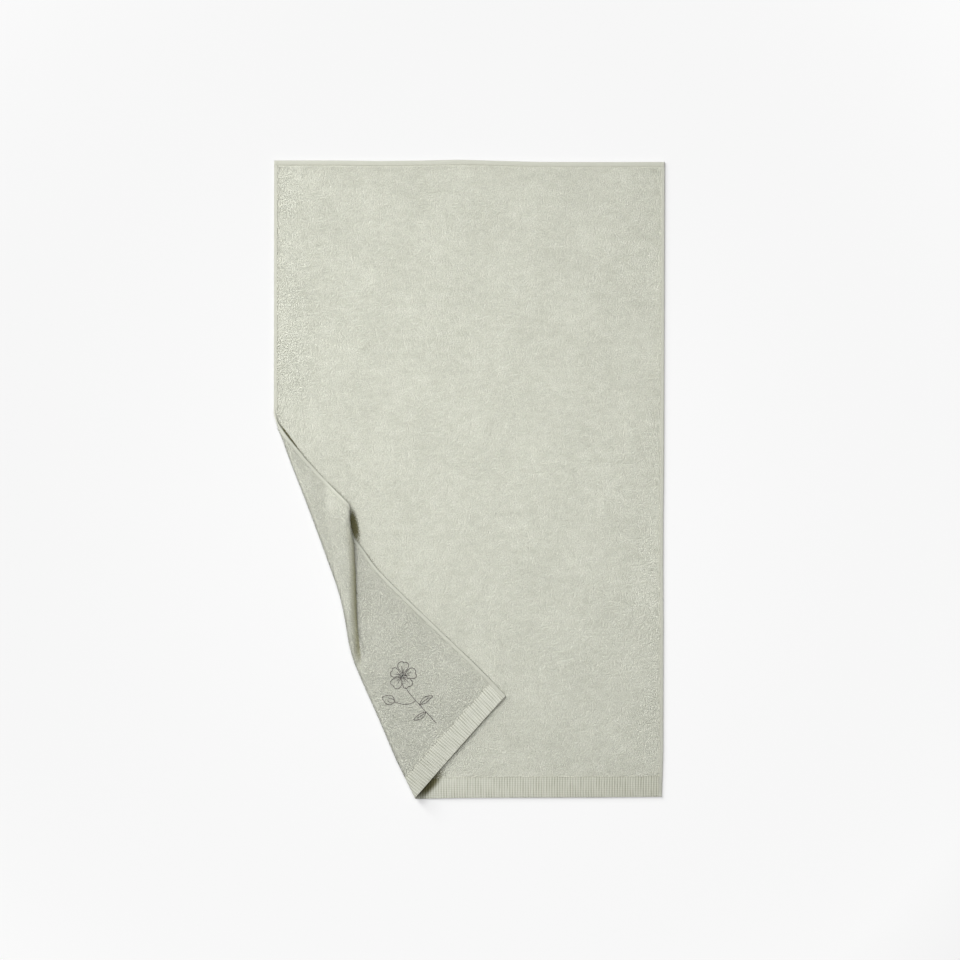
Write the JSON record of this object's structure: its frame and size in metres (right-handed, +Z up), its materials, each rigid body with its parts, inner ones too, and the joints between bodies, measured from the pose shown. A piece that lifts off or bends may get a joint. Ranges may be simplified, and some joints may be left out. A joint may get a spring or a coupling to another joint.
{
  "type": "hand towel, lying flat with one corner folded over",
  "caption": "Terry hand towel lying flat, with its lower left corner folded over the front in a soft pleat and a ribbed band along the lower end.",
  "frame": {"origin": "under the middle of the towel's bounding box, on the surface that it lies on", "axes": "+Y along the towel, away from the ribbed band, +X across it, +Z up off the surface"},
  "size_m": [0.5016, 0.8195, 0.0187],
  "materials": {
    "terry_cloth": "matt looped cotton pile in pale sage, with flat-woven hems and a ribbed band"
  },
  "bodies": {
    "root": {"towel": "terry_cloth"}
  },
  "joints": []
}
